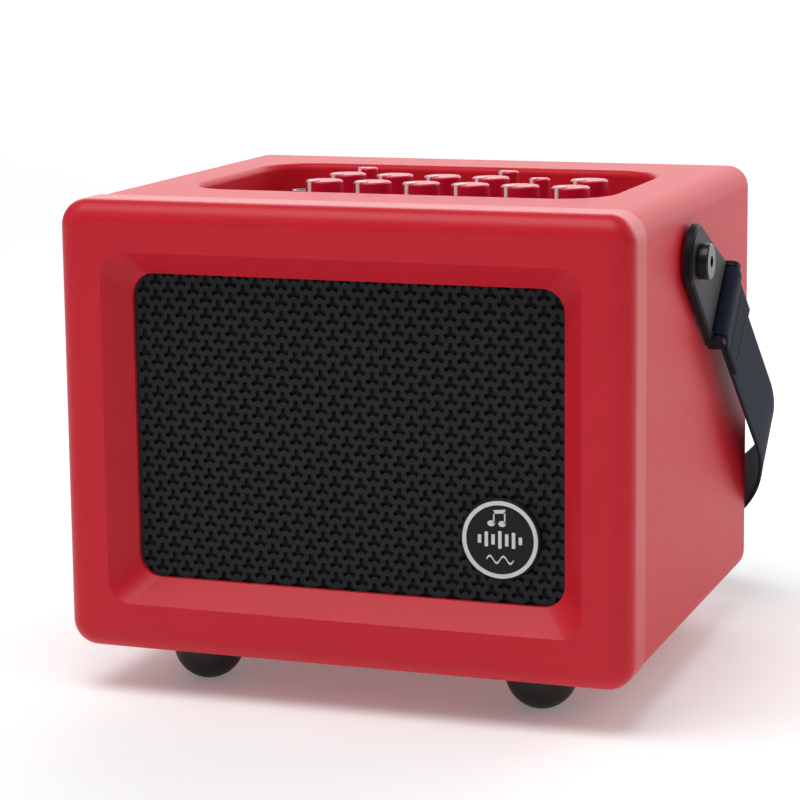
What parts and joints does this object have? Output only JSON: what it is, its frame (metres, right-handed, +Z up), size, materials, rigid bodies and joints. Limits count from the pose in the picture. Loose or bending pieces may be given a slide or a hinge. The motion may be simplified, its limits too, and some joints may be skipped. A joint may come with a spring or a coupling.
{
  "type": "guitar amplifier",
  "caption": "Portable guitar amplifier: red moulded cabinet, star-holed grille, rotary controls in a sunk top well, rubber dome feet and a swinging webbing strap.",
  "frame": {"origin": "on the ground under the middle of the whole object's box, strap included; the cabinet is left-right centred on it", "axes": "+X to the right as seen from the front; +Y from the grille to the back; +Z up"},
  "size_m": [0.2826, 0.2966, 0.222],
  "materials": {
    "badge_black": "black with a silver ring",
    "baffle_board": "fibreboard",
    "basket_steel": "black paint",
    "battery_wrap": "shrink wrap",
    "board_green": "solder mask",
    "bolt_black": "black hex-socket head",
    "coil_copper": "copper winding",
    "cone_paper": "pulp",
    "foot_rubber": "matt domes",
    "grille_black": "satin black with star-shaped holes",
    "hanger_black": "satin moulded plastic",
    "insert_brass": "knurled",
    "jack_metal": "nickel plated",
    "knob_red": "glossy, with a white pointer line",
    "magnet_grey": "ferrite between zinc-plated plates",
    "nut_chrome": "nickel plated",
    "panel_red": "matt dark red",
    "pot_plastic": "moulded",
    "rear_panel_black": "fine texture",
    "red_bezel": "satin-gloss moulded plastic",
    "red_shell": "satin-gloss moulded plastic",
    "rocker_black": "moulded",
    "screw_steel": "black zinc",
    "shaft_alloy": "turned",
    "sink_alloy": "extruded fins",
    "socket_black": "moulded",
    "spider_cloth": "corrugated cloth",
    "surround_rubber": "half roll",
    "switch_black": "moulded",
    "webbing_black": "woven polypropylene webbing"
  },
  "bodies": {
    "cabinet": {"amplifier_board": "board_green", "badge_disc": "badge_black", "battery_pack": "battery_wrap", "case_screws": "screw_steel", "control_board": "board_green", "control_panel": "panel_red", "dc_socket": "socket_black", "foot_and_speaker_screws": "screw_steel", "front_bezel": "red_bezel", "grille_panel": "grille_black", "heat_sink": "sink_alloy", "input_jacks": "jack_metal", "jack_nuts": "nut_chrome", "potentiometer_bodies": "pot_plastic", "power_switch_body": "switch_black", "rear_panel": "rear_panel_black", "rear_shell": "red_shell", "rubber_feet": "foot_rubber", "speaker_baffle": "baffle_board", "speaker_basket": "basket_steel", "speaker_cone": "cone_paper", "speaker_dust_cap": "cone_paper", "speaker_magnet": "magnet_grey", "speaker_spider": "spider_cloth", "speaker_surround": "surround_rubber", "strap_bolts": "bolt_black", "strap_inserts": "insert_brass", "voice_coil": "coil_copper"},
    "strap": {"strap_hanger_left": "hanger_black", "strap_hanger_right": "hanger_black", "strap_webbing": "webbing_black"},
    "power_rocker": {"power_rocker": "rocker_black"},
    "control_back_1": {"knob_back_1": "knob_red", "shaft_back_1": "shaft_alloy"},
    "control_back_4": {"knob_back_4": "knob_red", "shaft_back_4": "shaft_alloy"},
    "control_front_1": {"knob_front_1": "knob_red", "shaft_front_1": "shaft_alloy"},
    "control_front_2": {"knob_front_2": "knob_red", "shaft_front_2": "shaft_alloy"},
    "control_front_3": {"knob_front_3": "knob_red", "shaft_front_3": "shaft_alloy"},
    "control_front_4": {"knob_front_4": "knob_red", "shaft_front_4": "shaft_alloy"},
    "control_front_5": {"knob_front_5": "knob_red", "shaft_front_5": "shaft_alloy"},
    "control_front_6": {"knob_front_6": "knob_red", "shaft_front_6": "shaft_alloy"},
    "control_middle_1": {"knob_middle_1": "knob_red", "shaft_middle_1": "shaft_alloy"},
    "control_middle_2": {"knob_middle_2": "knob_red", "shaft_middle_2": "shaft_alloy"},
    "control_middle_3": {"knob_middle_3": "knob_red", "shaft_middle_3": "shaft_alloy"},
    "control_middle_4": {"knob_middle_4": "knob_red", "shaft_middle_4": "shaft_alloy"},
    "control_middle_5": {"knob_middle_5": "knob_red", "shaft_middle_5": "shaft_alloy"},
    "control_middle_6": {"knob_middle_6": "knob_red", "shaft_middle_6": "shaft_alloy"}
  },
  "joints": [
    {"name": "strap_swing", "type": "hinge", "parent": "cabinet", "child": "strap", "pos_m": [0, -0.0473, 0.189], "axis": [1, 0, 0], "range_deg": [0, 265]},
    {"name": "power_rock", "type": "hinge", "parent": "cabinet", "child": "power_rocker", "pos_m": [-0.042, 0.0797, 0.138], "axis": [-1, 0, 0], "range_deg": [0, 14]},
    {"name": "turn_back_1", "type": "hinge", "parent": "cabinet", "child": "control_back_1", "pos_m": [-0.0375, -0.0028, 0.204], "axis": [0, 0, -1], "range_deg": [0, 300]},
    {"name": "turn_back_4", "type": "hinge", "parent": "cabinet", "child": "control_back_4", "pos_m": [0.0318, -0.0028, 0.204], "axis": [0, 0, -1], "range_deg": [0, 300]},
    {"name": "turn_front_1", "type": "hinge", "parent": "cabinet", "child": "control_front_1", "pos_m": [-0.0375, -0.0598, 0.204], "axis": [0, 0, -1], "range_deg": [0, 300]},
    {"name": "turn_front_2", "type": "hinge", "parent": "cabinet", "child": "control_front_2", "pos_m": [-0.0144, -0.0598, 0.204], "axis": [0, 0, -1], "range_deg": [0, 300]},
    {"name": "turn_front_3", "type": "hinge", "parent": "cabinet", "child": "control_front_3", "pos_m": [0.0087, -0.0598, 0.204], "axis": [0, 0, -1], "range_deg": [0, 300]},
    {"name": "turn_front_4", "type": "hinge", "parent": "cabinet", "child": "control_front_4", "pos_m": [0.0318, -0.0598, 0.204], "axis": [0, 0, -1], "range_deg": [0, 300]},
    {"name": "turn_front_5", "type": "hinge", "parent": "cabinet", "child": "control_front_5", "pos_m": [0.0549, -0.0598, 0.204], "axis": [0, 0, -1], "range_deg": [0, 300]},
    {"name": "turn_front_6", "type": "hinge", "parent": "cabinet", "child": "control_front_6", "pos_m": [0.078, -0.0598, 0.204], "axis": [0, 0, -1], "range_deg": [0, 300]},
    {"name": "turn_middle_1", "type": "hinge", "parent": "cabinet", "child": "control_middle_1", "pos_m": [-0.0375, -0.0298, 0.204], "axis": [0, 0, -1], "range_deg": [0, 300]},
    {"name": "turn_middle_2", "type": "hinge", "parent": "cabinet", "child": "control_middle_2", "pos_m": [-0.0144, -0.0298, 0.204], "axis": [0, 0, -1], "range_deg": [0, 300]},
    {"name": "turn_middle_3", "type": "hinge", "parent": "cabinet", "child": "control_middle_3", "pos_m": [0.0087, -0.0298, 0.204], "axis": [0, 0, -1], "range_deg": [0, 300]},
    {"name": "turn_middle_4", "type": "hinge", "parent": "cabinet", "child": "control_middle_4", "pos_m": [0.0318, -0.0298, 0.204], "axis": [0, 0, -1], "range_deg": [0, 300]},
    {"name": "turn_middle_5", "type": "hinge", "parent": "cabinet", "child": "control_middle_5", "pos_m": [0.0549, -0.0298, 0.204], "axis": [0, 0, -1], "range_deg": [0, 300]},
    {"name": "turn_middle_6", "type": "hinge", "parent": "cabinet", "child": "control_middle_6", "pos_m": [0.078, -0.0298, 0.204], "axis": [0, 0, -1], "range_deg": [0, 300]}
  ]
}
